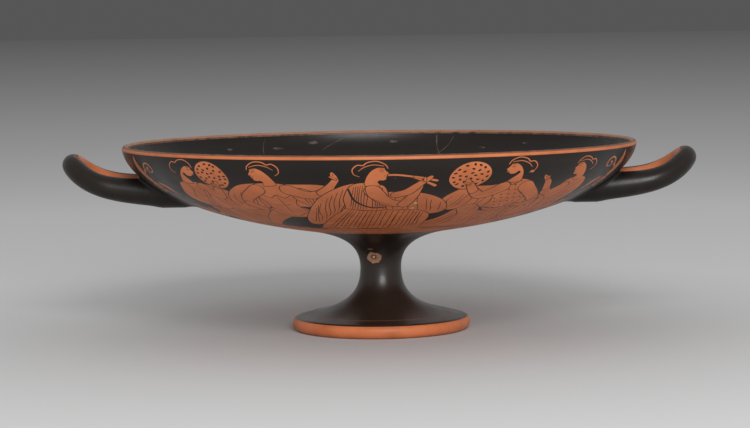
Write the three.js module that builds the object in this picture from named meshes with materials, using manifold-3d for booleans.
// A footed drinking cup (kylix) of fired clay: a wide shallow bowl on a hollow stem and disc foot, with two
// upswept horseshoe handles. Bowl, stem, foot and handles are luted together before firing: one solid.
// Millimetres, +Z up, origin on the standing surface under the stem; the handles point along +X and -X.
import * as THREE from "three";
import { mergeVertices } from "three/addons/utils/BufferGeometryUtils.js";
import { ParametricGeometry } from "three/addons/geometries/ParametricGeometry.js";
import Module from "manifold-3d";

const wasm = await Module();
wasm.setup();

// Overall sizes
const RIM_RADIUS = 156;
const HEIGHT = 114.4;
const FOOT_RADIUS = 54.3;
const STEM_RADIUS = 12.5;
const STEM_WAIST_Z = 37.5;
const TURN_SEGMENTS = 72;

// Bowl: outer and inner walls are quarter ovals, z = top - depth * sqrt(1 - (r / radius) ** power), and meet
// in a round lip. A power below 2 draws the middle of the bowl down towards the stem.
const LIP_THICKNESS = 3.7;
const LIP_START_Z = HEIGHT - LIP_THICKNESS / 2;
const OUTER_WALL = { radius: RIM_RADIUS, depth: 57, top: HEIGHT + 0.6, power: 1.7 };
const INNER_WALL = { radius: RIM_RADIUS - LIP_THICKNESS, depth: 52.2, top: HEIGHT + 0.6, power: 1.75 };
const BOWL_STEM_RADIUS = 50; // where the underside of the bowl starts to draw in to the stem
const THROAT = { rise: 15, reach: 26 }; // how far that curve holds to the stem and to the bowl

// Foot: a disc with a round edge, hollow underneath and up into the stem
const FOOT_EDGE_HEIGHT = 8.2;
const FOOT_PLATE_RADIUS = 42; // where the flare of the stem becomes the flat plate
const FOOT_PLATE_Z = 10.6;
const REST_OUTER_RADIUS = 50.5;
const REST_INNER_RADIUS = 44;
const HOLLOW_TOP_Z = 48;

// Handles: a round rod bent into a narrow horseshoe that rises towards its tip
const HANDLE = {
  tipX: 186.4, // centre of the rod at the tip
  halfSpacing: 20, // from the middle plane to the centre of each arm
  bendLength: 24, // from the start of the bend to the tip
  rootX: 108, // buried in the bowl's wall
  wallX: 131, // where the arms leave the wall
  rootZ: 86.1,
  slope: 0.08, // the arms rise gently at first
  rise: 12.2, // and then turn up towards the tip
  risePower: 4.4,
  rodRadius: 6.5,
  rootSwell: 1.3, // the arms thicken slowly towards the bowl
  flare: 1.2, // and flare where they are luted on
  flareLength: 6,
  rootRadius: 5, // they narrow again inside the wall
};
const HANDLE_STEPS = 40;
const ROD_SIDES = 14;

// A lime spall high on the front of the stem: a flake has burst off there, round a pale grain
const SPALL = { x: -4.3, z: 44.5, radius: 4.2, depth: 1.1 };

// A point of a wall's quarter oval; phi runs from 0 at the bottom to a quarter turn at the top
function wallPoint(wall, phi) {
  const r = wall.radius * Math.sin(phi) ** (2 / wall.power);
  return new THREE.Vector2(r, wall.top - wall.depth * Math.cos(phi));
}

// Points along a wall between two values of phi
function wallArc(wall, fromPhi, toPhi, steps) {
  return Array.from({ length: steps + 1 }, (_, i) =>
    wallPoint(wall, fromPhi + ((toPhi - fromPhi) * i) / steps),
  );
}

const phiAtRadius = (wall, r) => Math.asin((r / wall.radius) ** (wall.power / 2));
const phiAtHeight = (wall, z) => Math.acos((wall.top - z) / wall.depth);

// How fast a wall rises with the radius
function wallSlope(wall, r) {
  const share = (r / wall.radius) ** wall.power;
  return (wall.depth * wall.power * share) / (2 * r * Math.sqrt(1 - share));
}

// Points along an arc, such as the round lip and the foot's round edge
function roundEdge(centre, radiusX, radiusZ, fromDegrees, toDegrees, steps) {
  return Array.from({ length: steps + 1 }, (_, i) => {
    const t = THREE.MathUtils.degToRad(fromDegrees + ((toDegrees - fromDegrees) * i) / steps);
    return new THREE.Vector2(centre.x + radiusX * Math.cos(t), centre.y + radiusZ * Math.sin(t));
  });
}

function bezier(points, steps) {
  return new THREE.CubicBezierCurve(...points.map(([r, z]) => new THREE.Vector2(r, z))).getPoints(steps);
}

// Outside of the vessel, from the standing surface up to the lip
function outerProfile() {
  const edgeCentre = new THREE.Vector2(REST_OUTER_RADIUS, FOOT_EDGE_HEIGHT / 2);
  const edge = roundEdge(edgeCentre, FOOT_RADIUS - REST_OUTER_RADIUS, FOOT_EDGE_HEIGHT / 2, -90, 90, 6);
  const flare = bezier(
    [[FOOT_PLATE_RADIUS, FOOT_PLATE_Z], [20, 15], [STEM_RADIUS, 23], [STEM_RADIUS, STEM_WAIST_Z]],
    7,
  );
  const joinPhi = phiAtRadius(OUTER_WALL, BOWL_STEM_RADIUS);
  const join = wallPoint(OUTER_WALL, joinPhi);
  const slope = wallSlope(OUTER_WALL, BOWL_STEM_RADIUS);
  const throat = bezier(
    [
      [STEM_RADIUS, STEM_WAIST_Z],
      [STEM_RADIUS, STEM_WAIST_Z + THROAT.rise],
      [join.x - THROAT.reach, join.y - THROAT.reach * slope],
      [join.x, join.y],
    ],
    7,
  );
  const wall = wallArc(OUTER_WALL, joinPhi, phiAtHeight(OUTER_WALL, LIP_START_Z), 9);
  return [...edge, ...flare, ...throat.slice(1), ...wall.slice(1)];
}

// Inside of the bowl, from the lip down to the middle of the floor
function innerProfile() {
  return wallArc(INNER_WALL, phiAtHeight(INNER_WALL, LIP_START_Z), 0, 10);
}

function lipProfile() {
  const outer = wallPoint(OUTER_WALL, phiAtHeight(OUTER_WALL, LIP_START_Z));
  const inner = wallPoint(INNER_WALL, phiAtHeight(INNER_WALL, LIP_START_Z));
  const centre = outer.clone().add(inner).multiplyScalar(0.5);
  return roundEdge(centre, (outer.x - inner.x) / 2, LIP_THICKNESS / 2, 0, 180, 4).slice(1, -1);
}

// Underside of the foot: a shallow cone that runs up into the stem
function hollowProfile() {
  return bezier([[0, HOLLOW_TOP_Z], [9, HOLLOW_TOP_Z], [2, 5], [REST_INNER_RADIUS, 0]], 7);
}

// A closed mesh as a manifold solid
function solid(geometry) {
  geometry.deleteAttribute("normal");
  geometry.deleteAttribute("uv");
  const merged = mergeVertices(geometry, 1e-4);
  const mesh = new wasm.Mesh({
    numProp: 3,
    vertProperties: merged.attributes.position.array,
    triVerts: new Uint32Array(merged.index.array),
  });
  return new wasm.Manifold(mesh);
}

// A profile of (radius, height) points turned about the vertical axis
function turned(profile) {
  return new THREE.LatheGeometry(profile, TURN_SEGMENTS).rotateX(Math.PI / 2);
}

function vesselSolid() {
  return solid(turned([...hollowProfile(), ...outerProfile(), ...lipProfile(), ...innerProfile()]));
}

// What lies inside the middle of the bowl's wall: it trims the buried ends of the handles
function handleTrimmer() {
  const middle = {
    radius: (OUTER_WALL.radius + INNER_WALL.radius) / 2,
    depth: (OUTER_WALL.depth + INNER_WALL.depth) / 2,
    top: OUTER_WALL.top,
    power: (OUTER_WALL.power + INNER_WALL.power) / 2,
  };
  const wall = wallArc(middle, 0, Math.PI / 2, 16);
  return solid(turned([...wall, new THREE.Vector2(0, middle.top)]));
}

// Centre line of a handle's rod in plan, from one root round the tip to the other root
function handlePlan() {
  const bendX = HANDLE.tipX - HANDLE.bendLength;
  const arm = (fromX, toX, y) => new THREE.LineCurve(new THREE.Vector2(fromX, y), new THREE.Vector2(toX, y));
  const path = new THREE.CurvePath();
  path.add(arm(HANDLE.rootX, bendX, -HANDLE.halfSpacing));
  const quarter = Math.PI / 2;
  path.add(new THREE.EllipseCurve(bendX, 0, HANDLE.bendLength, HANDLE.halfSpacing, -quarter, quarter));
  path.add(arm(bendX, HANDLE.rootX, HANDLE.halfSpacing));
  return path;
}

function handleHeight(x) {
  const out = Math.max(0, x - HANDLE.wallX);
  const share = out / (HANDLE.tipX - HANDLE.wallX);
  return HANDLE.rootZ + HANDLE.slope * out + HANDLE.rise * share ** HANDLE.risePower;
}

// How thick the rod is at a distance x from the axis: it swells towards the bowl and flares at it
function rodRadius(x) {
  const towardsWall = THREE.MathUtils.smoothstep(HANDLE.tipX - x, 10, HANDLE.tipX - HANDLE.wallX - 10);
  const flare = HANDLE.flare * Math.exp(-Math.max(0, x - HANDLE.wallX) / HANDLE.flareLength);
  const outside = HANDLE.rodRadius + HANDLE.rootSwell * towardsWall + flare;
  const buried = THREE.MathUtils.clamp((HANDLE.wallX - x) / (HANDLE.wallX - HANDLE.rootX), 0, 1);
  return THREE.MathUtils.lerp(outside, HANDLE.rootRadius, buried);
}

function handleSolid() {
  const plan = handlePlan();
  const centreAt = (t) => {
    const p = plan.getPointAt(THREE.MathUtils.clamp(t, 0, 1));
    return new THREE.Vector3(p.x, p.y, handleHeight(p.x));
  };
  const up = new THREE.Vector3(0, 0, 1);
  const surface = (u, v, target) => {
    const step = 0.004;
    const centre = centreAt(u);
    const along = centreAt(u + step).sub(centreAt(u - step)).normalize();
    const side = new THREE.Vector3().crossVectors(along, up).normalize();
    const over = new THREE.Vector3().crossVectors(side, along);
    const closing = u < 1e-6 || u > 1 - 1e-6 ? 0 : 1; // both buried ends close to a point
    const radius = rodRadius(centre.x) * closing;
    const angle = 2 * Math.PI * v;
    target.copy(centre).addScaledVector(side, radius * Math.cos(angle));
    target.addScaledVector(over, radius * Math.sin(angle));
  };
  return solid(new ParametricGeometry(surface, HANDLE_STEPS, ROD_SIDES));
}

// The spall's shape: a large ball that bites a shallow dish out of the stem
function spallSolid(surfaceRadius) {
  const ball = (SPALL.radius ** 2 + SPALL.depth ** 2) / (2 * SPALL.depth);
  const outward = Math.sqrt(surfaceRadius ** 2 - SPALL.x ** 2);
  const direction = new THREE.Vector2(SPALL.x, -outward).normalize();
  const distance = surfaceRadius + ball - SPALL.depth;
  const bite = new THREE.SphereGeometry(ball, 20, 12);
  bite.translate(direction.x * distance, direction.y * distance, SPALL.z);
  return solid(bite);
}

function toGeometry(manifold) {
  const { vertProperties, triVerts } = manifold.getMesh();
  const geometry = new THREE.BufferGeometry();
  geometry.setAttribute("position", new THREE.BufferAttribute(vertProperties, 3));
  geometry.setIndex(new THREE.BufferAttribute(triVerts, 1));
  geometry.computeVertexNormals();
  return geometry;
}

function kylixSolid() {
  const trimmer = handleTrimmer();
  const right = handleSolid().subtract(trimmer);
  const left = right.rotate([0, 0, 180]);
  return vesselSolid().add(right).add(left).subtract(spallSolid(STEM_RADIUS + 0.6));
}

const glazedClay = new THREE.MeshStandardMaterial({ color: 0x1f1814, roughness: 0.35, metalness: 0 });
const kylix = new THREE.Mesh(toGeometry(kylixSolid()), glazedClay);
kylix.name = "kylix";

const cup = new THREE.Group();
cup.add(kylix);
export default cup;
